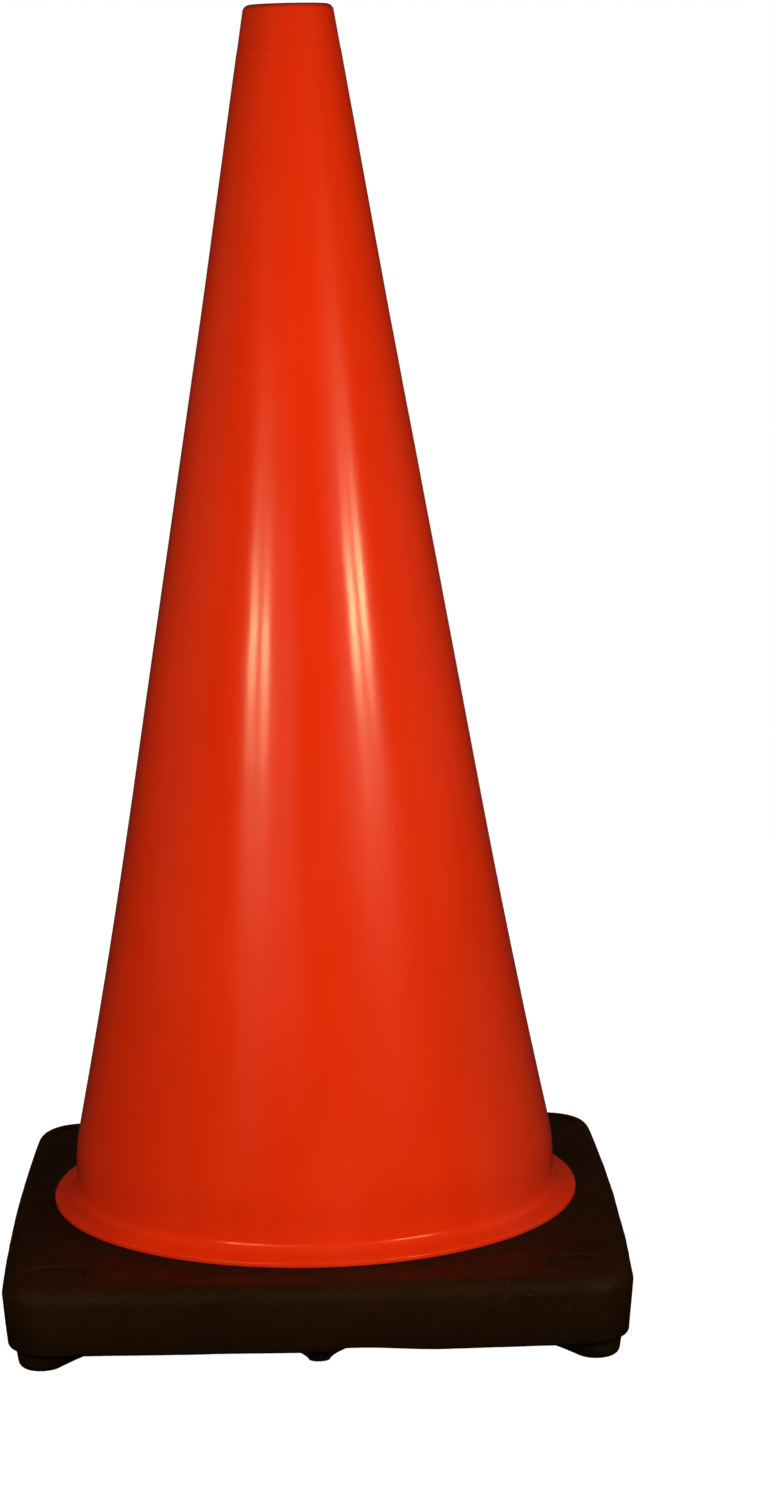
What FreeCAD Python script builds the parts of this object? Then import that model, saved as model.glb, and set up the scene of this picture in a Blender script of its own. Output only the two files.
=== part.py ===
import FreeCAD, Part
import math
import os

# Two-piece traffic cone of the 28 inch class, in millimetres.
# +Z is up, the cone's axis is Z, and the corner feet stand on Z = 0.
#
# cone_sleeve    the flexible hollow cone, with its lip, its skirt and its locking tabs
# weighted_base  the heavy square slab, with its hole, tab pockets, feet and stacking dimples
#
# The sleeve's skirt goes down through the slab's hole. The lip lies on the raised land round
# the hole and the tabs hook under the ceilings of eight pockets in the underside, so the slab
# is held between them. When cones are stacked, the corner feet of one stand in the mouths of
# the dimples of the next one down, and the hollow clears that cone's body.

# ---- Driving dimensions ----------------------------------------------------------------

HEIGHT = 711.0              # 28 in, floor to tip

# Slab
FOOT_HEIGHT = 10.4          # floor to the slab's underside
BASE_TOP = 47.7             # floor to the slab's flat top
HALF_WIDTH = 169.8          # axis to the widest point of a side
SHOULDER = 9.0              # rounded shoulder between the top and the sides
SIDE_TAPER = 2.5            # how far the sides lean in, shoulder to underside
CORNER_RADIUS = 28.0        # plan corners at the widest level
SIDE_BOW_RADIUS = 3900.0    # the sides bulge gently between the corners
HOLE_RADIUS = 141.3
LAND_RADIUS = 144.0         # low raised ring round the hole, which carries the sleeve's lip
LAND_HEIGHT = 2.2
UNDERSIDE_ROUND = 2.0

# Feet and dimples
CORNER_FOOT_SECTIONS = (    # height, centre's distance from the axis along X and Y, radius
    (0.0, 144.5, 9.8),
    (0.6, 144.8, 12.2),
    (2.4, 145.2, 13.8),
    (5.2, 143.6, 16.4),
    (8.0, 141.0, 20.0),
    (10.4, 138.2, 23.4),
)
SIDE_FOOT_OFFSET = 157.7
SIDE_FOOT_LIFT = 3.5        # the middle feet stop this far above the floor
SIDE_SOLE_RADII = (5.5, 3.5)
SIDE_ROOT_RADII = (12.0, 6.8)
SIDE_FOOT_FLARE = 1.3       # above 1, the foot widens more and more towards the slab
DIMPLE_OFFSET = 139.8
DIMPLE_RADIUS = 17.8
DIMPLE_FLOOR_RADIUS = 16.6
DIMPLE_DEPTH = 2.0

# Sleeve
WALL = 3.2
CONE_SLOPE = 0.1712         # radius lost for each millimetre of height
CONE_RADIUS_AT_FLOOR = 144.8
FLARE_Z = 195.0             # below this the body flares a little more
FLARE_SLOPE = 0.2012
FLARE_ROUND = 5000.0
COLLAR_Z = 82.0             # below this the body is nearly upright
COLLAR_SLOPE = 0.04
COLLAR_ROUND = 75.0
UPPER_Z = 550.0             # above this the taper eases a little
UPPER_SLOPE = 0.1636
LIP_RADIUS = 147.3
LIP_THICKNESS = 3.1         # at its edge
LIP_ROOT_Z = 56.3           # where the lip's upper face meets the body
LIP_FILLET = 3.5
LIP_EDGE_ROUND = 1.3
SKIRT_CLEARANCE = 0.5       # radial gap between the skirt and the slab's hole
SKIRT_BOTTOM = 13.5

# Tip
TIP_BORE_RADIUS = 18.0
TIP_BORE_LENGTH = 20.0
TIP_SHOULDER = 5.0          # height of the slope between the bore and the hollow
TIP_RIM_ROUND = 4.0         # outer edge of the rim
TIP_BORE_ROUND = 0.5        # inner edge of the rim
TIP_RING_DEPTH = 0.25       # tiny step around the tip collar
TIP_RING_BELOW_TOP = 24.0

# Locking tabs and their pockets
TAB_COUNT = 8
TAB_ANGLE = 12.0            # degrees of the circle that one tab covers
TAB_FIRST_ANGLE = 22.5
TAB_REACH = 7.0             # how far a tab stands out of the skirt
TAB_TOP = 18.6
TAB_NOSE = 2.0              # upright part of a tab's outer face
TAB_GAP = 0.3               # gap between a tab and its pocket's ceiling
POCKET_SIDE_SLACK = 1.0     # degrees on each side of a tab
POCKET_OUTER_SLACK = 1.5

OVERLAP = 1.0               # how far joined shapes run into each other
GENTLE_ROUND = 1000.0       # a rounding this large is kept as a spline, not as an arc


# ---- Outlines --------------------------------------------------------------------------

def vector(radius, z):
    """A point of a turned profile, in the XZ plane."""
    return FreeCAD.Vector(radius, 0, z)


def rounded_profile(corners):
    """Closed face in the XZ plane. Each corner is (radius, z, rounding)."""
    edges = []
    starts = []
    ends = []
    arcs = []
    count = len(corners)
    for i in range(count):
        before = vector(*corners[i - 1][:2])
        here = vector(*corners[i][:2])
        after = vector(*corners[(i + 1) % count][:2])
        rounding = corners[i][2]
        to_before = (before - here).normalize()
        to_after = (after - here).normalize()
        if rounding == 0:
            starts.append(here)
            ends.append(here)
            arcs.append(None)
            continue
        half_angle = to_before.getAngle(to_after) / 2
        cut = rounding / math.tan(half_angle)
        first = here + to_before * cut
        last = here + to_after * cut
        inwards = (to_before + to_after).normalize()
        reach = rounding / math.sin(half_angle) - rounding
        starts.append(first)
        ends.append(last)
        arc = Part.Arc(first, here + inwards * reach, last)
        if rounding > GENTLE_ROUND:
            arc = arc.toBSpline()
        arcs.append(arc.toShape())
    for i in range(count):
        if arcs[i] is not None:
            edges.append(arcs[i])
        edges.append(Part.LineSegment(ends[i], starts[(i + 1) % count]).toShape())
    return Part.Face(Part.Wire(edges))


def turned(face, angle=360.0, start=0.0):
    """A profile in the XZ plane, turned about Z from the start angle."""
    solid = face.revolve(FreeCAD.Vector(0, 0, 0), FreeCAD.Vector(0, 0, 1), angle)
    solid.rotate(FreeCAD.Vector(0, 0, 0), FreeCAD.Vector(0, 0, 1), start)
    return solid


def slab_outline(inset, z):
    """Square with bowed sides and tangent round corners, inset from the widest level."""
    side = SIDE_BOW_RADIUS - inset
    corner = CORNER_RADIUS - inset
    half = HALF_WIDTH - inset
    # The bowed side's centre lies beyond the opposite side. A corner's centre (c, c) keeps
    # the two arcs tangent: c^2 + (c + side - half)^2 = (side - corner)^2.
    reach = side - half
    gap = side - corner
    centre = (math.sqrt(2 * gap * gap - reach * reach) - reach) / 2
    lean = math.atan2(centre, centre + reach)
    edges = []
    for quarter in range(4):
        bow_end = FreeCAD.Vector(centre + corner * math.sin(lean), -centre - corner * math.cos(lean), z)
        bow_start = FreeCAD.Vector(-bow_end.x, bow_end.y, z)
        bow = Part.Arc(bow_start, FreeCAD.Vector(0, -half, z), bow_end).toShape()
        bend_middle = FreeCAD.Vector(1, -1, 0).normalize() * corner + FreeCAD.Vector(centre, -centre, z)
        bend_end = FreeCAD.Vector(-bow_end.y, -bow_end.x, z)
        bend = Part.Arc(bow_end, bend_middle, bend_end).toShape()
        for edge in (bow, bend):
            edge.rotate(FreeCAD.Vector(0, 0, 0), FreeCAD.Vector(0, 0, 1), 90.0 * quarter)
            edges.append(edge)
    return Part.Wire(edges)


def oval(centre_x, centre_y, radius_x, radius_y, z):
    """Closed ellipse or circle at a height."""
    centre = FreeCAD.Vector(centre_x, centre_y, z)
    if math.isclose(radius_x, radius_y):
        return Part.Wire(Part.Circle(centre, FreeCAD.Vector(0, 0, 1), radius_x).toShape())
    return Part.Wire(Part.Ellipse(centre, radius_x, radius_y).toShape())


# ---- Sleeve ----------------------------------------------------------------------------

def outer_radius(z):
    """Body radius above the flare."""
    eased = max(z - UPPER_Z, 0)
    return CONE_RADIUS_AT_FLOOR - CONE_SLOPE * (z - eased) - UPPER_SLOPE * eased


def sleeve_body():
    """The hollow cone with its lip and skirt, one turned profile."""
    flare_radius = outer_radius(FLARE_Z)
    collar_radius = flare_radius + FLARE_SLOPE * (FLARE_Z - COLLAR_Z)
    lip_seat_z = BASE_TOP + LAND_HEIGHT
    lip_root_radius = collar_radius + COLLAR_SLOPE * (COLLAR_Z - LIP_ROOT_Z)
    skirt_outer = HOLE_RADIUS - SKIRT_CLEARANCE
    skirt_inner = skirt_outer - WALL
    ring_z = HEIGHT - TIP_RING_BELOW_TOP
    bore_bottom = HEIGHT - TIP_BORE_LENGTH
    hollow_top = bore_bottom - TIP_SHOULDER
    profile = rounded_profile([
        (TIP_BORE_RADIUS, HEIGHT, TIP_BORE_ROUND),
        (outer_radius(HEIGHT) - TIP_RING_DEPTH, HEIGHT, TIP_RIM_ROUND),
        (outer_radius(ring_z) - TIP_RING_DEPTH, ring_z, 0),
        (outer_radius(ring_z), ring_z, 0),
        (outer_radius(UPPER_Z), UPPER_Z, FLARE_ROUND),
        (flare_radius, FLARE_Z, FLARE_ROUND),
        (collar_radius, COLLAR_Z, COLLAR_ROUND),
        (lip_root_radius, LIP_ROOT_Z, LIP_FILLET),
        (LIP_RADIUS, lip_seat_z + LIP_THICKNESS, LIP_EDGE_ROUND),
        (LIP_RADIUS, lip_seat_z, LIP_EDGE_ROUND),
        (skirt_outer, lip_seat_z, 0),
        (skirt_outer, SKIRT_BOTTOM, 0.8),
        (skirt_inner, SKIRT_BOTTOM, 0.8),
        (skirt_inner, lip_seat_z - WALL, LIP_FILLET),
        (lip_root_radius - WALL, LIP_ROOT_Z, LIP_FILLET),
        (collar_radius - WALL, COLLAR_Z, COLLAR_ROUND),
        (flare_radius - WALL, FLARE_Z, FLARE_ROUND),
        (outer_radius(UPPER_Z) - WALL, UPPER_Z, FLARE_ROUND),
        (outer_radius(hollow_top) - WALL, hollow_top, 0),
        (TIP_BORE_RADIUS, bore_bottom, 0),
    ])
    return turned(profile)


def locking_tab(angle):
    """One hook on the skirt: flat on top, ramped below so that it snaps in from above."""
    skirt_outer = HOLE_RADIUS - SKIRT_CLEARANCE
    root = skirt_outer - OVERLAP
    tip = skirt_outer + TAB_REACH
    profile = rounded_profile([
        (root, TAB_TOP, 0),
        (tip, TAB_TOP, 0.5),
        (tip, TAB_TOP - TAB_NOSE, 0.5),
        (skirt_outer, SKIRT_BOTTOM + OVERLAP, 0),
        (root, SKIRT_BOTTOM + OVERLAP, 0),
    ])
    return turned(profile, TAB_ANGLE, angle - TAB_ANGLE / 2)


def tab_angles():
    """Middle angle of each tab, in degrees."""
    return [TAB_FIRST_ANGLE + 360.0 / TAB_COUNT * i for i in range(TAB_COUNT)]


def cone_sleeve():
    """Body and tabs as one moulding."""
    tabs = [locking_tab(angle) for angle in tab_angles()]
    return sleeve_body().fuse(tabs).removeSplitter()


# ---- Base ------------------------------------------------------------------------------

def slab():
    """Solid square slab: sides that lean in downwards and a rounded shoulder on top."""
    widest_z = BASE_TOP - SHOULDER
    lower = Part.makeLoft([slab_outline(SIDE_TAPER, FOOT_HEIGHT), slab_outline(0, widest_z)], True, True)
    upper = Part.Face(slab_outline(0, widest_z)).extrude(FreeCAD.Vector(0, 0, SHOULDER))
    top_edges = [edge for edge in upper.Edges if edge.BoundBox.ZMin > BASE_TOP - 0.01]
    upper = upper.makeFillet(SHOULDER * 0.97, top_edges)
    lower_edges = [edge for edge in lower.Edges if edge.BoundBox.ZMax < FOOT_HEIGHT + 0.01]
    lower = lower.makeFillet(UNDERSIDE_ROUND, lower_edges)
    return lower.fuse(upper)


def corner_foot(sign_x, sign_y):
    """Foot under one corner, steep on its outer side and sloping on its inner side."""
    sections = []
    for height, offset, radius in CORNER_FOOT_SECTIONS:
        sections.append(oval(sign_x * offset, sign_y * offset, radius, radius, height))
    sections.append(oval(sign_x * offset, sign_y * offset, radius, radius, FOOT_HEIGHT + OVERLAP))
    return Part.makeLoft(sections, True, True)


def side_foot(quarter):
    """Shorter oval foot at the middle of one side, widening into the slab like a bell."""
    steps = 4
    sections = []
    for i in range(steps + 1):
        rise = i / steps
        blend = rise ** SIDE_FOOT_FLARE
        radii = [a + (b - a) * blend for a, b in zip(SIDE_SOLE_RADII, SIDE_ROOT_RADII)]
        height = SIDE_FOOT_LIFT + (FOOT_HEIGHT - SIDE_FOOT_LIFT) * rise
        sections.append(oval(0.0, -SIDE_FOOT_OFFSET, *radii, height))
    sections.append(oval(0.0, -SIDE_FOOT_OFFSET, *SIDE_ROOT_RADII, FOOT_HEIGHT + OVERLAP))
    shape = Part.makeLoft(sections, True, True)
    shape.rotate(FreeCAD.Vector(0, 0, 0), FreeCAD.Vector(0, 0, 1), 90.0 * quarter)
    return shape


def dimple(sign_x, sign_y):
    """Shallow dish whose rim places a foot of the next cone up."""
    dish = Part.makeCone(DIMPLE_FLOOR_RADIUS, DIMPLE_RADIUS, DIMPLE_DEPTH)
    dish.translate(FreeCAD.Vector(sign_x * DIMPLE_OFFSET, sign_y * DIMPLE_OFFSET, BASE_TOP - DIMPLE_DEPTH))
    return dish


def tab_pocket(angle):
    """Pocket in the underside, a little wider than the tab that snaps into it."""
    inner = HOLE_RADIUS - OVERLAP
    outer = HOLE_RADIUS - SKIRT_CLEARANCE + TAB_REACH + POCKET_OUTER_SLACK
    ceiling = TAB_TOP + TAB_GAP
    profile = rounded_profile([
        (inner, ceiling, 0),
        (outer, ceiling, 0.8),
        (outer, FOOT_HEIGHT - OVERLAP, 0),
        (inner, FOOT_HEIGHT - OVERLAP, 0),
    ])
    width = TAB_ANGLE + 2 * POCKET_SIDE_SLACK
    return turned(profile, width, angle - width / 2)


def weighted_base():
    """Slab, land, feet, hole, pockets and dimples as one moulding."""
    signs = [(x, y) for x in (-1, 1) for y in (-1, 1)]
    raised = [corner_foot(x, y) for x, y in signs] + [side_foot(quarter) for quarter in range(4)]
    raised.append(Part.makeCylinder(LAND_RADIUS, LAND_HEIGHT + OVERLAP, FreeCAD.Vector(0, 0, BASE_TOP - OVERLAP)))
    body = slab().fuse(raised).removeSplitter()
    land_top = BASE_TOP + LAND_HEIGHT
    hole = Part.makeCylinder(HOLE_RADIUS, land_top + 2 * OVERLAP, FreeCAD.Vector(0, 0, -OVERLAP))
    cuts = [hole]
    cuts += [tab_pocket(angle) for angle in tab_angles()]
    cuts += [dimple(x, y) for x, y in signs]
    return body.cut(cuts).removeSplitter()


# ---- Write one file for each piece -----------------------------------------------------

def only_solid(shape, name):
    """The single closed solid that a piece must be."""
    solids = shape.Solids
    if len(solids) != 1 or not solids[0].isValid():
        raise RuntimeError(f"{name}: {len(solids)} solids, valid {shape.isValid()}")
    return solids[0]


os.makedirs("parts", exist_ok=True)
pieces = {
    "cone_sleeve": cone_sleeve(),
    "weighted_base": weighted_base(),
}
for name, shape in pieces.items():
    solid = only_solid(shape, name)
    solid.exportStep(f"parts/{name}.step")
    box = solid.BoundBox
    print(f"{name}: {solid.Volume / 1000:.1f} cm3, z {box.ZMin:.2f} to {box.ZMax:.2f}, "
          f"x {box.XMin:.2f} to {box.XMax:.2f}, {len(solid.Faces)} faces")
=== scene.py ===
import math

import bmesh
import bpy
import numpy as np
from mathutils import Matrix, Vector, noise
from mathutils.geometry import delaunay_2d_cdt


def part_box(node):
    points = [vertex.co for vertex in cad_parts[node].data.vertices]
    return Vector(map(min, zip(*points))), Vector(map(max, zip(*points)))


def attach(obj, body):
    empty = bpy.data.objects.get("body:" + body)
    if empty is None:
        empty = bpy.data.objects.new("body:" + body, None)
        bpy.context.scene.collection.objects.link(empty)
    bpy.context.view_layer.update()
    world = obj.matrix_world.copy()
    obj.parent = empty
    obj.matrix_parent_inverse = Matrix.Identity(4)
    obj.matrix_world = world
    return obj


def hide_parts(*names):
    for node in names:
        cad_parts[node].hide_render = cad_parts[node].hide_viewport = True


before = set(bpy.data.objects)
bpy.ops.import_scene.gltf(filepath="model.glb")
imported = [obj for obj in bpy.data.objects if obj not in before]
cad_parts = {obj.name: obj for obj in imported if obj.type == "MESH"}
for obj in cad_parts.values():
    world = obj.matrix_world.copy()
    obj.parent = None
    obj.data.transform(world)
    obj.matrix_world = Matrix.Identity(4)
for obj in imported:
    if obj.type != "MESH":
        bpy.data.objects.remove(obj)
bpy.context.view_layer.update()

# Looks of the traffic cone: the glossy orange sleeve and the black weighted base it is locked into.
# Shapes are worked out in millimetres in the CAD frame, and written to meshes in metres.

MM = 0.001


def millimetres(point):
    """A point given in metres, in millimetres."""
    return Vector(point) / MM


SLEEVE_LOW, SLEEVE_HIGH = map(millimetres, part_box("cone_sleeve"))
_, BASE_HIGH = map(millimetres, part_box("weighted_base"))

# ---- Dimensions, in millimetres ----------------------------------------------------------

HEIGHT = SLEEVE_HIGH.z
LIP_RADIUS = SLEEVE_HIGH.x
SKIRT_BOTTOM = SLEEVE_LOW.z
HALF_WIDTH = BASE_HIGH.x
LAND_TOP = BASE_HIGH.z
LAND_HEIGHT = 2.2
BASE_TOP = LAND_TOP - LAND_HEIGHT

FOOT_HEIGHT = 10.4
SHOULDER = 8.73
SIDE_TAPER = 2.5
CORNER_RADIUS = 28.0
SIDE_BOW_RADIUS = 3900.0
HOLE_RADIUS = 141.3
LAND_RADIUS = 146.4
LAND_EDGE_ROUND = 0.4
LAND_FOOT_RADIUS = 156.0
LAND_FOOT_ROUND = 6.0
LAND_RUN_OUT = 1.0
TAPER_START = 9.0           # below the slab's top
UNDERSIDE_ROUND = 2.0
SECTION_REACH = 30.0        # how far the section of the slab's side reaches into its flat faces
BOW_AT_CORNER = 2.5         # how far a bowed side has come in where the corner starts

CORNER_FOOT_SECTIONS = (    # height, centre's distance from the axis along X and Y, radius
    (0.0, 146.0, 8.5),
    (0.6, 146.4, 10.6),
    (2.4, 145.5, 13.5),
    (5.2, 142.3, 17.7),
    (8.0, 138.5, 22.5),
    (10.4, 135.7, 26.8),
)
SIDE_FOOT_OFFSET = 157.7
SIDE_FOOT_LIFT = 3.5
SIDE_SOLE_RADII = (5.5, 3.5)
SIDE_ROOT_RADII = (15.5, 7.0)
SIDE_FOOT_FLARE = 1.7
SOLE_EDGE = (0.8, 0.4)      # the side foot's bevel round its sole: across, and up
DIMPLE_OFFSET = 139.8
DIMPLE_RIM_RADIUS = 17.2
DIMPLE_FLOOR_RADIUS = 16.6
DIMPLE_DEPTH = 1.5
DIMPLE_ROUND = 1.0

WRINKLE_PATCHES = ((-53.0, -8.0), (22.0, 60.0), (78.0, 116.0))    # start and end along X
WRINKLE_END_FADE = 3.0
WRINKLE_BAND = (11.0, 1.0)          # lowest and highest place, below the slab's top
WRINKLE_BAND_FADES = (2.0, 1.5)
EDGE_LIFT = 1.9
EDGE_LIFT_SPAN = (7.0, 66.0)        # start and end along X
EDGE_LIFT_FADES = (8.0, 46.0)
EDGE_LIFT_DEPTHS = (13.0, 5.0)      # in from the front: where it starts and where it is full
EDGE_LIFT_HEIGHTS = (1.5, 9.0)      # above the underside: where it is full and where it ends

WALL = 3.2
CONE_SLOPE = 0.1712
CONE_RADIUS_AT_FLOOR = 144.8
FLARE_Z = 195.0
FLARE_SLOPE = 0.2012
FLARE_ROUND = 5000.0
COLLAR_Z = 82.0
COLLAR_SLOPE = 0.04
COLLAR_ROUND = 75.0
UPPER_Z = 550.0
UPPER_SLOPE = 0.1636
LIP_THICKNESS = 3.1
LIP_ROOT_Z = 56.3
LIP_FILLET = 6.0
INNER_FILLET = 3.5
LIP_EDGE_ROUND = 1.3
SKIRT_CLEARANCE = 0.5
SKIRT_EDGE_ROUND = 0.8
TIP_BORE_RADIUS = 18.0
TIP_BORE_LENGTH = 20.0
TIP_SHOULDER = 5.0
TIP_RIM_ROUND = 4.0
TIP_BORE_ROUND = 0.5
TIP_RING_DEPTH = 0.14
TIP_RING_BELOW_TOP = 24.0

TAB_COUNT = 8
TAB_ANGLE = 12.0
TAB_FIRST_ANGLE = 22.5
TAB_REACH = 7.0
TAB_TOP = 18.6
TAB_NOSE = 2.0
TAB_ROUND = 0.5
TAB_ROOT = SKIRT_BOTTOM + 1.0
TAB_GAP = 0.3
POCKET_SIDE_SLACK = 1.0
POCKET_OUTER_SLACK = 1.5
POCKET_DEPTH = TAB_REACH + POCKET_OUTER_SLACK - SKIRT_CLEARANCE
POCKET_ROUND = 0.8

# Unevenness of the moulded faces: how far it stands off, and how large its lumps are.
SLEEVE_SWELL = (0.16, 55.0)
SLEEVE_RIPPLE = (0.05, 17.0)
RIPPLE_STRETCH = 0.55       # lumps of the sleeve are longer upright than across
RIPPLE_FADES = (40.0, 60.0)     # how far above the lip and below the tip they reach full height
BASE_SWELL = (0.22, 42.0)
BASE_RIPPLE = (0.10, 13.0)
BASE_GRAIN = (0.035, 3.2)
BASE_WRINKLE = (0.5, 2.8)

# ---- Fineness of the meshes --------------------------------------------------------------

WELD = 0.002
SMOOTH_ANGLE = math.radians(35.0)
TAB_STEPS = 8
GAP_STEPS = 22
HOLE_STEPS = 8
SIDE_STEPS = 300
CORNER_STEPS = 26
FOOT_POINTS = 64
FOOT_STEPS = 4
SIDE_FOOT_STEPS = 12
DIMPLE_POINTS = 72
DIMPLE_CAP_RADIUS = 0.8
TOP_SPACING = 2.2
UNDERSIDE_SPACING = 3.5
ROW_STEP = 0.87             # distance between rows of points, as a share of their spacing
EDGE_MARGIN = 1.0           # how far filling points stay off the slab's edge, hole and feet
HOLE_MARGIN = 1.5
FOOT_MARGIN = 1.2


# ---- Mesh helpers ------------------------------------------------------------------------

def rounded(corners, gap, turn):
    """Points along a line of corners (across, z, rounding). Arcs step by turn degrees, straights by gap."""
    points = []
    for i, (x, z, rounding) in enumerate(corners):
        here = Vector((x, z))
        if rounding == 0:
            points.append(here)
            continue
        to_before = (Vector(corners[i - 1][:2]) - here).normalized()
        to_after = (Vector(corners[i + 1][:2]) - here).normalized()
        half = to_before.angle(to_after) / 2
        first = here + to_before * (rounding / math.tan(half))
        last = here + to_after * (rounding / math.tan(half))
        centre = here + (to_before + to_after).normalized() * (rounding / math.sin(half))
        sweep = math.pi - 2 * half
        steps = max(2, round(math.degrees(sweep) / turn), round(sweep * rounding / gap))
        spoke = first - centre
        side = math.copysign(1.0, spoke.cross(last - centre))
        for k in range(steps + 1):
            turned = Matrix.Rotation(side * sweep * k / steps, 2) @ spoke
            points.append(centre + turned if k < steps else last)
    spaced = []
    for here, after in zip(points, points[1:]):
        pieces = max(1, math.ceil((after - here).length / gap))
        spaced += [here.lerp(after, k / pieces) for k in range(pieces)]
    return spaced + [points[-1]]


def link(name, bm):
    """Makes an object from a bmesh given in millimetres, shaded smooth but for its sharp edges."""
    bmesh.ops.remove_doubles(bm, verts=bm.verts, dist=WELD)
    bmesh.ops.dissolve_degenerate(bm, edges=bm.edges, dist=WELD / 2)
    bmesh.ops.recalc_face_normals(bm, faces=bm.faces)
    for edge in bm.edges:
        if len(edge.link_faces) == 2:
            edge.smooth = edge.calc_face_angle(0.0) < SMOOTH_ANGLE
    for face in bm.faces:
        face.smooth = True
    mesh = bpy.data.meshes.new(name)
    bmesh.ops.scale(bm, vec=(MM, MM, MM), verts=bm.verts)
    bm.to_mesh(mesh)
    bm.free()
    piece = bpy.data.objects.new(name, mesh)
    bpy.context.scene.collection.objects.link(piece)
    return piece


def bridge(bm, first, second, closed=True):
    """Quads between two rows of vertices with the same count."""
    count = len(first)
    for i in range(count if closed else count - 1):
        j = (i + 1) % count
        bm.faces.new((first[i], first[j], second[j], second[i]))


def bridge_all(bm, rows):
    """Quads between each closed row of vertices and the next."""
    for first, second in zip(rows, rows[1:]):
        bridge(bm, first, second)


def lumps(point, height_and_size, seed):
    """Smooth noise of a height each way, with lumps of about a size, both in millimetres."""
    height, size = height_and_size
    return height * noise.noise(Vector(point) / size + Vector((seed * 17.3, seed * 5.1, seed * 9.7)))


def tab_angles():
    """Middle angle of each tab, in degrees."""
    return [TAB_FIRST_ANGLE + 360.0 / TAB_COUNT * i for i in range(TAB_COUNT)]


def stations(half_width):
    """Angles round the axis as (degrees, inside a tab). A tab's side has two, one of each kind."""
    pitch = 360.0 / TAB_COUNT
    found = []
    for middle in tab_angles():
        start, end = middle - half_width, middle + half_width
        found += [(start + (end - start) * k / TAB_STEPS, True) for k in range(TAB_STEPS + 1)]
        wait = pitch - 2 * half_width
        found += [(end + wait * k / GAP_STEPS, False) for k in range(GAP_STEPS + 1)]
    return found


# ---- Sleeve ------------------------------------------------------------------------------

def outer_radius(z):
    """Body radius above the flare. The taper is gentler above UPPER_Z."""
    above = max(z - UPPER_Z, 0)
    return CONE_RADIUS_AT_FLOOR - CONE_SLOPE * (z - above) - UPPER_SLOPE * above


def sleeve_profiles():
    """Turned profile of the sleeve away from a tab and at a tab, point for point."""
    flare_radius = outer_radius(FLARE_Z)
    collar_radius = flare_radius + FLARE_SLOPE * (FLARE_Z - COLLAR_Z)
    lip_root_radius = collar_radius + COLLAR_SLOPE * (COLLAR_Z - LIP_ROOT_Z)
    skirt_outer = HOLE_RADIUS - SKIRT_CLEARANCE
    skirt_inner = skirt_outer - WALL
    ring_z = HEIGHT - TIP_RING_BELOW_TOP
    bore_bottom = HEIGHT - TIP_BORE_LENGTH
    hollow_top = bore_bottom - TIP_SHOULDER
    outside = rounded([
        (TIP_BORE_RADIUS, bore_bottom, 0),
        (TIP_BORE_RADIUS, HEIGHT, TIP_BORE_ROUND),
        (outer_radius(HEIGHT) - TIP_RING_DEPTH, HEIGHT, TIP_RIM_ROUND),
        (outer_radius(ring_z) - TIP_RING_DEPTH, ring_z + TIP_RING_DEPTH, 0),
        (outer_radius(ring_z), ring_z, 0),
        (outer_radius(UPPER_Z), UPPER_Z, FLARE_ROUND),
        (flare_radius, FLARE_Z, FLARE_ROUND),
        (collar_radius, COLLAR_Z, COLLAR_ROUND),
        (lip_root_radius, LIP_ROOT_Z, LIP_FILLET),
        (LIP_RADIUS, LAND_TOP + LIP_THICKNESS, LIP_EDGE_ROUND),
        (LIP_RADIUS, LAND_TOP, LIP_EDGE_ROUND),
        (skirt_outer, LAND_TOP, 0),
        (skirt_outer, TAB_TOP, 0),
    ], gap=4.0, turn=6.0)
    inside = rounded([
        (skirt_outer, TAB_ROOT, 0),
        (skirt_outer, SKIRT_BOTTOM, SKIRT_EDGE_ROUND),
        (skirt_inner, SKIRT_BOTTOM, SKIRT_EDGE_ROUND),
        (skirt_inner, LAND_TOP - WALL, INNER_FILLET),
        (lip_root_radius - WALL, LIP_ROOT_Z, INNER_FILLET),
        (collar_radius - WALL, COLLAR_Z, COLLAR_ROUND),
        (flare_radius - WALL, FLARE_Z, FLARE_ROUND),
        (outer_radius(UPPER_Z) - WALL, UPPER_Z, FLARE_ROUND),
        (outer_radius(hollow_top) - WALL, hollow_top, 0),
        (TIP_BORE_RADIUS, bore_bottom, 0),
    ], gap=6.0, turn=15.0)[:-1]
    tip = skirt_outer + TAB_REACH
    hook = rounded([
        (skirt_outer, TAB_TOP, 0),
        (tip, TAB_TOP, TAB_ROUND),
        (tip, TAB_TOP - TAB_NOSE, TAB_ROUND),
        (skirt_outer, TAB_ROOT, 0),
    ], gap=3.0, turn=30.0)[1:-1]
    step = (TAB_TOP - TAB_ROOT) / (len(hook) + 1)
    plain = [Vector((skirt_outer, TAB_TOP - step * (k + 1))) for k in range(len(hook))]
    return outside + plain + inside, outside + hook + inside, len(outside)


def build_sleeve():
    """The orange sleeve: thin wall, collar, lip, skirt and hooks in one mesh."""
    plain, hooked, outside_count = sleeve_profiles()
    bm = bmesh.new()
    rows = []
    for angle, in_tab in stations(TAB_ANGLE / 2):
        turn = math.radians(angle)
        row = []
        for i, point in enumerate(hooked if in_tab else plain):
            radius = point.x
            if i < outside_count:
                radius += sleeve_ripple(point, turn)
            row.append(bm.verts.new((radius * math.cos(turn), radius * math.sin(turn), point.y)))
        rows.append(row)
    for i, row in enumerate(rows):
        bridge(bm, row, rows[(i + 1) % len(rows)])
    return link("sleeve_orange_pvc", bm)


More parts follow.
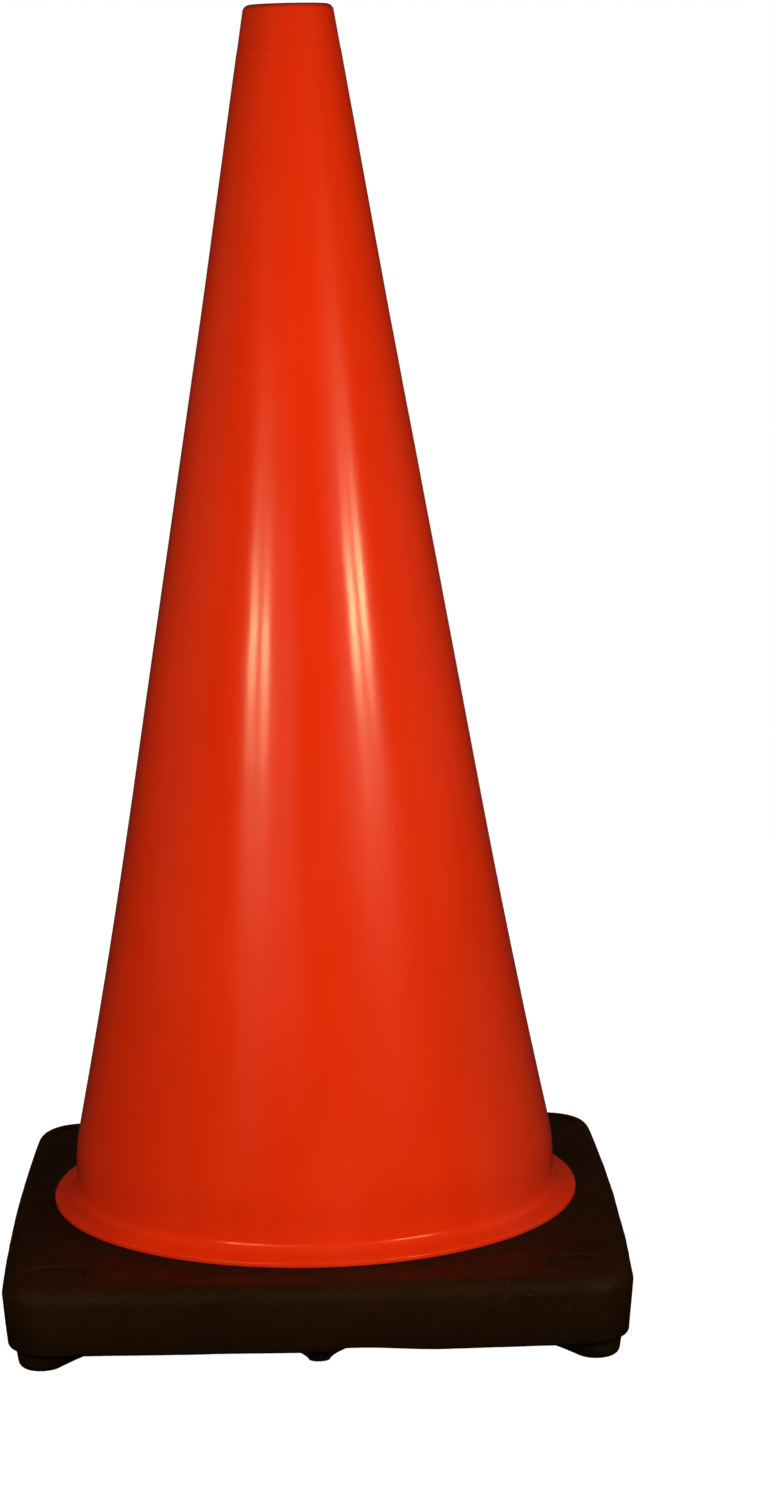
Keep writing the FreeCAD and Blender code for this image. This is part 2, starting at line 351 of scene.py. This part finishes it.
def sleeve_ripple(point, turn):
    """How far the flexible wall stands off its true radius, in millimetres, on its outer face."""
    radius, z = point
    if z < LAND_TOP + 0.5 or z > HEIGHT - 2.0 or radius < TIP_BORE_RADIUS + 1.0:
        return 0.0
    place = (radius * math.cos(turn), radius * math.sin(turn), z * RIPPLE_STRETCH)
    above_lip, below_tip = RIPPLE_FADES
    fade = min(1.0, (z - LAND_TOP) / above_lip, (HEIGHT - z) / below_tip)
    return fade * (lumps(place, SLEEVE_SWELL, 1) + lumps(place, SLEEVE_RIPPLE, 2))


# ---- Base --------------------------------------------------------------------------------

CORNERS = [(x, y) for x in (-1, 1) for y in (-1, 1)]
QUARTER_TURNS = ((1, 0), (0, 1), (-1, 0), (0, -1))      # cosine and sine


def turned_by(quarter, points):
    """Points (x, y) turned about the axis by a number of quarter turns."""
    c, s = QUARTER_TURNS[quarter]
    return [(x * c - y * s, x * s + y * c) for x, y in points]


def slab_outline(inset):
    """Square with bowed sides and tangent round corners, as a list of (x, y)."""
    side = SIDE_BOW_RADIUS - inset
    corner = CORNER_RADIUS - inset
    half = HALF_WIDTH - inset
    # The corner's centre is on the diagonal, where its arc is tangent to both sides' arcs.
    reach = side - half
    gap = side - corner
    centre = (math.sqrt(2 * gap * gap - reach * reach) - reach) / 2
    lean = math.atan2(centre, centre + reach)
    one_side = []
    for k in range(SIDE_STEPS):
        a = -lean + 2 * lean * k / SIDE_STEPS
        one_side.append((side * math.sin(a), reach - side * math.cos(a)))
    for k in range(CORNER_STEPS):
        a = lean + (math.pi / 2 - 2 * lean) * k / CORNER_STEPS
        one_side.append((centre + corner * math.sin(a), -centre - corner * math.cos(a)))
    return [point for quarter in range(4) for point in turned_by(quarter, one_side)]


def ring(bm, points, z):
    """A row of vertices at one height."""
    return [bm.verts.new((x, y, z)) for x, y in points]


def ellipse(centre_x, centre_y, radius_x, radius_y, count):
    """Points round an ellipse."""
    turns = [2 * math.pi * k / count for k in range(count)]
    return [(centre_x + radius_x * math.cos(t), centre_y + radius_y * math.sin(t)) for t in turns]


def inside_loop(places, loop):
    """For each (x, y) row of an array, whether it is inside a closed row of vertices."""
    here = np.array([v.co[:2] for v in loop])
    before = np.roll(here, 1, axis=0)
    x, y = places[:, :1], places[:, 1:]
    spans = (here[:, 1] > y) != (before[:, 1] > y)
    rise = np.where(before[:, 1] == here[:, 1], 1.0, before[:, 1] - here[:, 1])
    crossing = (before[:, 0] - here[:, 0]) * (y - here[:, 1]) / rise + here[:, 0]
    return (spans & (x < crossing)).sum(axis=1) % 2 == 1


def fill(bm, outer, holes, spacing, keep):
    """Fills the flat face between an outer loop and its holes. Points inside it let it be uneven."""
    z = outer[0].co.z
    rim = [v for loop in [outer] + holes for v in loop]
    points = [Vector(v.co[:2]) for v in rim]
    edges = []
    for loop in [outer] + holes:
        start = len(edges)
        edges += [(start + i, start + (i + 1) % len(loop)) for i in range(len(loop))]
    reach = math.ceil(HALF_WIDTH / spacing)
    for i in range(-reach, reach + 1):
        for j in range(-reach, reach + 1):
            place = Vector(((i + 0.5 * (j % 2)) * spacing, j * spacing * ROW_STEP))
            if keep(place):
                points.append(place)
    found, _, faces, origin, _, _ = delaunay_2d_cdt(points, edges, [], 0, 1e-4)
    made = []
    for place, sources in zip(found, origin):
        old = [k for k in sources if k < len(rim)]
        made.append(rim[old[0]] if old else bm.verts.new((place.x, place.y, z)))
    middles = np.array([sum((found[k] for k in face), Vector((0.0, 0.0))) / 3 for face in faces])
    solid = ~np.any([inside_loop(middles, hole) for hole in holes], axis=0)
    for face, is_solid in zip(faces, solid):
        if is_solid:
            bm.faces.new([made[k] for k in face])


def outline_margin(place):
    """Roughly how far a point is inside the slab's widest outline."""
    x, y = abs(place.x), abs(place.y)
    centre = HALF_WIDTH - CORNER_RADIUS - BOW_AT_CORNER
    if x > centre and y > centre:
        return CORNER_RADIUS - math.hypot(x - centre, y - centre)
    bow = min(x, y) ** 2 / (2 * SIDE_BOW_RADIUS)
    return HALF_WIDTH - bow - max(x, y)


def slab_wall(bm):
    """The slab's outside from the edge of its flat top down to the edge of its flat underside."""
    section = rounded([
        (-SECTION_REACH, BASE_TOP, 0),
        (0.0, BASE_TOP, SHOULDER),
        (0.0, BASE_TOP - TAPER_START, 0),
        (-SIDE_TAPER, FOOT_HEIGHT, UNDERSIDE_ROUND),
        (-SECTION_REACH, FOOT_HEIGHT, 0),
    ], gap=1.3, turn=6.0)
    # Only the part from the shoulder's upper edge to the first point of the underside is kept.
    tiny = 0.01
    first = next(i for i, p in enumerate(section) if p.x > -SHOULDER - tiny)
    last = next(i for i, p in enumerate(section) if p.y < FOOT_HEIGHT + tiny)
    rows = [ring(bm, slab_outline(-p.x), p.y) for p in section[first:last + 1]]
    bridge_all(bm, rows)
    return rows[0], rows[-1]


def hole_wall(bm):
    """The hole with its tab pockets, and the land round it, which slopes down to the flat top.

    Gives the loops in the top and in the underside."""
    ceiling = TAB_TOP + TAB_GAP
    outer = HOLE_RADIUS + POCKET_DEPTH
    pocket = rounded([
        (outer, FOOT_HEIGHT, 0),
        (outer, ceiling, POCKET_ROUND),
        (HOLE_RADIUS, ceiling, 0),
    ], gap=3.0, turn=30.0)
    low_step = (ceiling - FOOT_HEIGHT) / (len(pocket) - 1)
    plain = [Vector((HOLE_RADIUS, FOOT_HEIGHT + low_step * k)) for k in range(len(pocket))]
    high_step = (LAND_TOP - ceiling) / HOLE_STEPS
    shared = [Vector((HOLE_RADIUS, ceiling + high_step * (k + 1))) for k in range(HOLE_STEPS)]
    shared += rounded([
        (HOLE_RADIUS, LAND_TOP, 0),
        (LAND_RADIUS, LAND_TOP, LAND_EDGE_ROUND),
        (LAND_FOOT_RADIUS, BASE_TOP, LAND_FOOT_ROUND),
        (LAND_FOOT_RADIUS + LAND_RUN_OUT, BASE_TOP, 0),
    ], gap=2.0, turn=10.0)[1:]
    rows = []
    for angle, in_pocket in stations(TAB_ANGLE / 2 + POCKET_SIDE_SLACK):
        turn = math.radians(angle)
        points = (pocket if in_pocket else plain) + shared
        rows.append([bm.verts.new((p.x * math.cos(turn), p.x * math.sin(turn), p.y)) for p in points])
    for i, row in enumerate(rows):
        bridge(bm, row, rows[(i + 1) % len(rows)], closed=False)
    return [row[-1] for row in rows], [row[0] for row in rows]


def dish(bm, centre_x, centre_y):
    """A stacking dimple sunk in the top. Gives its loop in the top's plane."""
    section = rounded([
        (DIMPLE_RIM_RADIUS + 3 * DIMPLE_ROUND, BASE_TOP, 0),
        (DIMPLE_RIM_RADIUS, BASE_TOP, DIMPLE_ROUND),
        (DIMPLE_FLOOR_RADIUS, BASE_TOP - DIMPLE_DEPTH, DIMPLE_ROUND),
        (DIMPLE_CAP_RADIUS, BASE_TOP - DIMPLE_DEPTH, 0),
    ], gap=1.5, turn=12.0)
    section = [p for p in section if p.x < DIMPLE_RIM_RADIUS + DIMPLE_ROUND]
    rows = [ring(bm, ellipse(centre_x, centre_y, p.x, p.x, DIMPLE_POINTS), p.y) for p in section]
    bridge_all(bm, rows)
    bm.faces.new(rows[-1])
    return rows[0]


def eased_sections(sections):
    """The same sections with FOOT_STEPS steps of a smooth curve from each to the next."""
    rows = [np.array(section) for section in sections]
    rows = [2 * rows[0] - rows[1]] + rows + [2 * rows[-1] - rows[-2]]
    eased = []
    for before, here, after, beyond in zip(rows, rows[1:], rows[2:], rows[3:]):
        for k in range(FOOT_STEPS):
            s = k / FOOT_STEPS
            start, end = (after - before) / 2, (beyond - here) / 2
            eased.append((2 * s**3 - 3 * s**2 + 1) * here + (s**3 - 2 * s**2 + s) * start
                         + (3 * s**2 - 2 * s**3) * after + (s**3 - s**2) * end)
    return eased + [rows[-2]]


def foot_from_sections(bm, sections, quarter=0):
    """A foot from (z, centre x, centre y, radius x, radius y), sole first.

    Gives its loop in the underside."""
    rows = []
    for z, x, y, radius_x, radius_y in sections:
        oval = ellipse(x, y, radius_x, radius_y, FOOT_POINTS)
        rows.append(ring(bm, turned_by(quarter, oval), z))
    bridge_all(bm, rows)
    bm.faces.new(rows[0])
    return rows[-1]


def corner_foot(bm, sign_x, sign_y):
    """Foot under one corner."""
    sections = eased_sections(CORNER_FOOT_SECTIONS)
    return foot_from_sections(bm, [(z, sign_x * away, sign_y * away, r, r) for z, away, r in sections])


def side_foot(bm, quarter):
    """Shorter oval foot at the middle of one side."""
    bevel_in, bevel_up = SOLE_EDGE
    sole = [radius - bevel_in for radius in SIDE_SOLE_RADII]
    sections = [(SIDE_FOOT_LIFT, 0.0, -SIDE_FOOT_OFFSET, *sole)]
    for k in range(SIDE_FOOT_STEPS + 1):
        share = k / SIDE_FOOT_STEPS
        blend = share ** SIDE_FOOT_FLARE
        radii = [a + (b - a) * blend for a, b in zip(SIDE_SOLE_RADII, SIDE_ROOT_RADII)]
        rise = max(bevel_up, (FOOT_HEIGHT - SIDE_FOOT_LIFT) * share)
        sections.append((SIDE_FOOT_LIFT + rise, 0.0, -SIDE_FOOT_OFFSET, *radii))
    return foot_from_sections(bm, sections, quarter)


def clear_on_top(place):
    """Whether a point of the flat top is clear of the land, the shoulder and the dimples."""
    x, y = abs(place.x), abs(place.y)
    off_land = place.length > LAND_FOOT_RADIUS + TOP_SPACING
    off_shoulder = outline_margin(place) > SHOULDER + EDGE_MARGIN
    off_dimple = math.hypot(x - DIMPLE_OFFSET, y - DIMPLE_OFFSET) > DIMPLE_RIM_RADIUS + TOP_SPACING
    return off_land and off_shoulder and off_dimple


def clear_below(place):
    """Whether a point of the flat underside is clear of the hole, the edge and the feet."""
    x, y = abs(place.x), abs(place.y)
    near, far = min(x, y), max(x, y)
    _, root_offset, root_radius = CORNER_FOOT_SECTIONS[-1]
    root_x, root_y = [radius + FOOT_MARGIN for radius in SIDE_ROOT_RADII]
    off_hole = place.length > HOLE_RADIUS + POCKET_DEPTH + HOLE_MARGIN
    off_edge = outline_margin(place) > SIDE_TAPER + UNDERSIDE_ROUND + EDGE_MARGIN
    off_corner_foot = math.hypot(x - root_offset, y - root_offset) > root_radius + FOOT_MARGIN
    off_side_foot = math.hypot(near / root_x, (far - SIDE_FOOT_OFFSET) / root_y) > 1.0
    return off_hole and off_edge and off_corner_foot and off_side_foot


def build_base():
    """The black slab with its hole, pockets, dimples and feet in one mesh."""
    bm = bmesh.new()
    top_edge, bottom_edge = slab_wall(bm)
    hole_top, hole_bottom = hole_wall(bm)
    dishes = [dish(bm, x * DIMPLE_OFFSET, y * DIMPLE_OFFSET) for x, y in CORNERS]
    feet = [corner_foot(bm, x, y) for x, y in CORNERS] + [side_foot(bm, quarter) for quarter in range(4)]
    bmesh.ops.remove_doubles(bm, verts=bm.verts, dist=WELD)
    hole_top = [v for v in dict.fromkeys(hole_top) if v.is_valid]
    hole_bottom = [v for v in dict.fromkeys(hole_bottom) if v.is_valid]
    fill(bm, top_edge, [hole_top] + dishes, TOP_SPACING, clear_on_top)
    fill(bm, bottom_edge, [hole_bottom] + feet, UNDERSIDE_SPACING, clear_below)
    bm.normal_update()
    for vertex, shift in [(v, base_unevenness(v.co, v.normal)) for v in bm.verts]:
        vertex.co += shift
    return link("base_black_rubber", bm)


def base_unevenness(place, normal):
    """How far the rough moulding stands off its true face. It is true under the lip and at the feet."""
    if math.hypot(place.x, place.y) < LIP_RADIUS + 0.5 or place.z < FOOT_HEIGHT - 0.5:
        return Vector((0.0, 0.0, 0.0))
    swell = lumps(place, BASE_SWELL, 3) + lumps(place, BASE_RIPPLE, 4)
    grain = lumps(place, BASE_GRAIN, 5) + wrinkled(place) * lumps(place, BASE_WRINKLE, 6)
    return normal * (swell + grain) + Vector((0.0, 0.0, edge_lift(place)))


def eased_step(value, start, end):
    """0 before start, 1 after end, and a smooth step between them."""
    s = min(1.0, max(0.0, (value - start) / (end - start)))
    return s * s * (3 - 2 * s)


def window(value, start, end, fade_in, fade_out):
    """1 between start and end, 0 outside them, with a smooth step just inside each."""
    return eased_step(value, start, start + fade_in) * (1 - eased_step(value, end - fade_out, end))


def wrinkled(place):
    """1 inside the three patches of small wrinkles on the front's shoulder, 0 away from them."""
    if place.y > 0:
        return 0.0
    bottom, top = WRINKLE_BAND
    upright = window(place.z, BASE_TOP - bottom, BASE_TOP - top, *WRINKLE_BAND_FADES)
    along = [window(place.x, *patch, WRINKLE_END_FADE, WRINKLE_END_FADE) for patch in WRINKLE_PATCHES]
    return upright * max(along)


def edge_lift(place):
    """How far the front's lower edge is raised just beside the middle foot."""
    inner, outer = EDGE_LIFT_DEPTHS
    full, end = EDGE_LIFT_HEIGHTS
    along = window(place.x, *EDGE_LIFT_SPAN, *EDGE_LIFT_FADES)
    near_edge = eased_step(-place.y, HALF_WIDTH - inner, HALF_WIDTH - outer)
    low = 1 - eased_step(place.z, FOOT_HEIGHT + full, FOOT_HEIGHT + end)
    return EDGE_LIFT * along * near_edge * low


sleeve = build_sleeve()
base = build_base()
PIECES = (
    (sleeve, "cone_sleeve", "orange_pvc"),
    (base, "weighted_base", "black_recycled_rubber"),
)
for piece, node, slot in PIECES:
    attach(piece, "root")
    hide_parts(node)


# ---- Materials ---------------------------------------------------------------------------

ORANGE = ((0.74, 0.028, 0.0026), (0.79, 0.032, 0.0032))
FLOW_LINES = (0.03, 0.003, 0.001)
# Pale streaks painted into the orange: partly rub marks, partly painted sheen that widens the glossy
# highlights.
RUB_MARKS_AND_SHEEN = (0.75, 0.22, 0.15)
RUB_AND_SHEEN_STRENGTH = 0.035
BLACK_RUBBER = ((0.0125, 0.0046, 0.0014), (0.0195, 0.0068, 0.0019))
RUBBER_SPECKS = (0.035, 0.020, 0.012)
# Painted shade: the rubber is darkened towards the floor, standing in for the shade low down on the slab.
RUBBER_PAINTED_SHADE = (0.0080, 0.0034, 0.0008)
PAINTED_SHADE_HEIGHTS = (0.036, 0.008)      # heights in metres between which the rubber gets darker


def node_material(name):
    """An empty node material, its tree and its shader."""
    material = bpy.data.materials.new(name)
    material.use_nodes = True
    tree = material.node_tree
    return material, tree, tree.nodes["Principled BSDF"]


def add(tree, kind, inputs=None, **settings):
    """Adds a node, sets its settings and inputs. An input may be a value or another node's socket."""
    node = tree.nodes.new(kind)
    for key, value in settings.items():
        setattr(node, key, value)
    for key, value in (inputs or {}).items():
        if isinstance(value, bpy.types.NodeSocket):
            tree.links.new(value, node.inputs[key])
        else:
            node.inputs[key].default_value = value
    return node


def set_values(node, values):
    """Sets a node's own unlinked inputs."""
    for key, value in values.items():
        node.inputs[key].default_value = value


def position(tree, stretch=(1.0, 1.0, 1.0)):
    """Object position in metres, stretched."""
    spot = add(tree, "ShaderNodeTexCoord")
    mapping = add(tree, "ShaderNodeMapping", {"Vector": spot.outputs["Object"], "Scale": stretch})
    return mapping.outputs["Vector"]


def noise_value(tree, scale, detail=3.0, stretch=(1.0, 1.0, 1.0), low=0.0, high=1.0, rough=0.5):
    """Noise as a number, remapped from its middle range to low and high."""
    texture = add(tree, "ShaderNodeTexNoise", {
        "Vector": position(tree, stretch), "Scale": scale, "Detail": detail, "Roughness": rough})
    spread = add(tree, "ShaderNodeMapRange", {
        "Value": texture.outputs["Fac"], "From Min": 0.3, "From Max": 0.7, "To Min": low, "To Max": high})
    return spread.outputs["Result"]


def mix_colour(tree, factor, first, second):
    """Mixes two colours or colour sockets."""
    node = add(tree, "ShaderNodeMix", data_type="RGBA")
    for key, value in ((0, factor), (6, first), (7, second)):
        if isinstance(value, bpy.types.NodeSocket):
            tree.links.new(value, node.inputs[key])
        else:
            node.inputs[key].default_value = value if key == 0 else (*value, 1.0)
    return node.outputs[2]


def orange_pvc():
    """Glossy soft PVC: strong orange with a faint mottle, flow lines, pale streaks that are partly rub marks
    and partly painted sheen, and orange peel.
    """
    material, tree, shader = node_material("orange_pvc")
    mottle = noise_value(tree, 9.0, 3.0)
    flow = noise_value(tree, 60.0, 2.0, (1.0, 1.0, 0.06))
    colour = mix_colour(tree, mottle, *ORANGE)
    lines = mix_colour(tree, flow, (0.0, 0.0, 0.0), FLOW_LINES)
    both = add(tree, "ShaderNodeVectorMath", {0: colour, 1: lines}, operation="ADD")
    # Pale streaks mixed into the colour: partly rub marks, partly painted sheen.
    streak = noise_value(tree, 13.0, 2.0, (1.0, 1.0, 0.25))
    rubbed_and_sheen = add(tree, "ShaderNodeMapRange", {
        "Value": streak, "From Min": 0.6, "From Max": 1.0, "To Max": RUB_AND_SHEEN_STRENGTH})
    colour = mix_colour(tree, rubbed_and_sheen.outputs["Result"], both.outputs[0], RUB_MARKS_AND_SHEEN)
    tree.links.new(colour, shader.inputs["Base Color"])
    gloss = noise_value(tree, 35.0, 4.0, (1.0, 1.0, 0.35), 0.19, 0.24)
    tree.links.new(gloss, shader.inputs["Roughness"])
    set_values(shader, {
        "IOR": 1.45, "Specular IOR Level": 0.29,
        "Coat Weight": 0.6, "Coat Roughness": 0.14, "Coat IOR": 1.45})
    peel = noise_value(tree, 420.0, 2.0)
    bump = add(tree, "ShaderNodeBump", {"Height": peel, "Strength": 0.05, "Distance": 0.0004})
    tree.links.new(bump.outputs["Normal"], shader.inputs["Normal"])
    return material


def black_rubber():
    """Recycled rubber and PVC: dull black brown, cloudy, with grit and paler specks, and painted shade
    darkening it low down.
    """
    material, tree, shader = node_material("black_recycled_rubber")
    cloud = noise_value(tree, 22.0, 5.0, rough=0.6)
    colour = mix_colour(tree, cloud, *BLACK_RUBBER)
    grit = noise_value(tree, 900.0, 2.0)
    speck = add(tree, "ShaderNodeMapRange", {"Value": grit, "From Min": 0.86, "From Max": 1.0})
    colour = mix_colour(tree, speck.outputs["Result"], colour, RUBBER_SPECKS)
    # Painted shade: the colour gets darker towards the floor, going by height.
    height = add(tree, "ShaderNodeSeparateXYZ", {"Vector": position(tree)})
    start, end = PAINTED_SHADE_HEIGHTS
    low = add(tree, "ShaderNodeMapRange", {"Value": height.outputs["Z"], "From Min": start, "From Max": end})
    colour = mix_colour(tree, low.outputs["Result"], colour, RUBBER_PAINTED_SHADE)
    tree.links.new(colour, shader.inputs["Base Color"])
    set_values(shader, {"Specular IOR Level": 0.28})
    gloss = noise_value(tree, 60.0, 4.0, low=0.5, high=0.72)
    tree.links.new(gloss, shader.inputs["Roughness"])
    coarse = noise_value(tree, 240.0, 5.0, rough=0.65)
    bump = add(tree, "ShaderNodeBump", {"Height": coarse, "Strength": 0.35, "Distance": 0.0006})
    tree.links.new(bump.outputs["Normal"], shader.inputs["Normal"])
    return material


sleeve.data.materials.append(orange_pvc())
base.data.materials.append(black_rubber())


# ---- Stage, light and camera -------------------------------------------------------------

def build_floor():
    """Plain pale floor. It glows white and lights nothing, so the cone keeps its dark edges."""
    bm = bmesh.new()
    bmesh.ops.create_grid(bm, x_segments=8, y_segments=8, size=6.0)
    mesh = bpy.data.meshes.new("floor")
    bm.to_mesh(mesh)
    bm.free()
    floor = bpy.data.objects.new("floor", mesh)
    bpy.context.scene.collection.objects.link(floor)
    material, _, shader = node_material("pale_floor")
    set_values(shader, {
        "Base Color": (0.3, 0.3, 0.3, 1.0), "Roughness": 0.9, "Specular IOR Level": 0.0,
        "Emission Color": (1.0, 1.0, 1.0, 1.0), "Emission Strength": 1.0})
    mesh.materials.append(material)
    floor.visible_diffuse = False
    floor.visible_glossy = False


def build_world():
    """White behind the object, and a dim room around it for what it reflects."""
    world = bpy.data.worlds.new("studio")
    bpy.context.scene.world = world
    world.use_nodes = True
    tree = world.node_tree
    output = tree.nodes["World Output"]
    seen = tree.nodes["Background"]
    set_values(seen, {"Color": (1.0, 1.0, 1.0, 1.0), "Strength": 1.0})
    around = add(tree, "ShaderNodeBackground", {"Color": (1.0, 0.9, 0.75, 1.0), "Strength": 0.01})
    path = add(tree, "ShaderNodeLightPath")
    mix = add(tree, "ShaderNodeMixShader", {0: path.outputs["Is Camera Ray"]})
    tree.links.new(around.outputs[0], mix.inputs[1])
    tree.links.new(seen.outputs[0], mix.inputs[2])
    tree.links.new(mix.outputs[0], output.inputs["Surface"])


WARM = (1.0, 0.9, 0.7)
AMBER = (1.0, 0.76, 0.4)

# Lamps: name, azimuth in degrees, distance, height, width and height of the lamp in metres,
# power in watts, and the height aimed at in metres. Each pair of bands shows in the gloss.
SOFT_LAMPS = (
    ("soft_left", -22.0, 1.0, 0.50, 0.56, 0.36, 5.1, 0.38),
    ("soft_right", 40.0, 1.0, 0.55, 0.56, 0.36, 4.9, 0.44),
    ("side_left", -100.0, 1.0, 0.50, 0.8, 0.5, 1.9, 0.38),
    ("side_right", 102.0, 0.6, 0.42, 0.5, 0.3, 0.68, 0.40),
    ("back", 180.0, 1.2, 0.50, 0.8, 0.5, 4.0, 0.38),
)
BAND_LAMPS = (
    ("band_left_outer", -38.2, 2.0, 0.73, 0.18, 0.05, 2.15, 0.4),
    ("band_right_inner", 40.7, 2.0, 0.755, 0.17, 0.07, 2.7, 0.4),
    ("band_left_inner", -28.6, 2.0, 0.73, 0.18, 0.05, 1.85, 0.4),
    ("band_right_outer", 49.9, 2.0, 0.755, 0.17, 0.07, 2.7, 0.4),
)


def lamp(name, azimuth, distance, height, width, tall, power, aim, colour, glossy):
    """A soft rectangular lamp. Azimuth is in degrees from the front, positive towards +X."""
    data = bpy.data.lights.new(name, "AREA")
    data.shape = "RECTANGLE"
    data.size, data.size_y = width, tall
    data.energy = power
    data.color = colour
    light = bpy.data.objects.new(name, data)
    bpy.context.scene.collection.objects.link(light)
    turn = math.radians(azimuth)
    light.location = (distance * math.sin(turn), -distance * math.cos(turn), height)
    facing = Vector((0.0, 0.0, aim)) - light.location
    light.rotation_mode = "QUATERNION"
    light.rotation_quaternion = facing.to_track_quat("-Z", "Y")
    light.visible_glossy = glossy
    light.visible_camera = False


def build_lights():
    """Broad soft lamps in front, at the sides and behind, and two pairs of small ones for the bands."""
    for settings in SOFT_LAMPS:
        lamp(*settings, WARM, False)
    for settings in BAND_LAMPS:
        lamp(*settings, AMBER, True)


CAMERA_PLACE = (0.0, -1.9881, 0.6373)
CAMERA_PITCH = math.radians(8.615)
CAMERA_YAW = math.radians(0.226)
CAMERA_ROLL = math.radians(-1.305)
LENS = 86.86
SENSOR_WIDTH = 36.0
LENS_SHIFT = (0.0447, -0.04)


def build_camera():
    """A long lens near the height of the tip, looking slightly down."""
    data = bpy.data.cameras.new("camera")
    data.sensor_width = SENSOR_WIDTH
    data.lens = LENS
    data.shift_x, data.shift_y = LENS_SHIFT
    data.clip_end = 50.0
    camera = bpy.data.objects.new("camera", data)
    bpy.context.scene.collection.objects.link(camera)
    pitch, yaw, roll = CAMERA_PITCH, CAMERA_YAW, CAMERA_ROLL
    forward = Vector((math.sin(yaw) * math.cos(pitch), math.cos(yaw) * math.cos(pitch), -math.sin(pitch)))
    level = Vector((math.cos(yaw), -math.sin(yaw), 0.0))
    upward = level.cross(forward)
    right = math.cos(roll) * level + math.sin(roll) * upward
    up = -math.sin(roll) * level + math.cos(roll) * upward
    facing = Matrix((right, up, -forward)).transposed().to_4x4()
    camera.matrix_world = Matrix.Translation(CAMERA_PLACE) @ facing
    bpy.context.scene.camera = camera


build_floor()
build_world()
build_lights()
build_camera()
bpy.context.scene.view_settings.view_transform = "Standard"

bpy.context.view_layer.update()
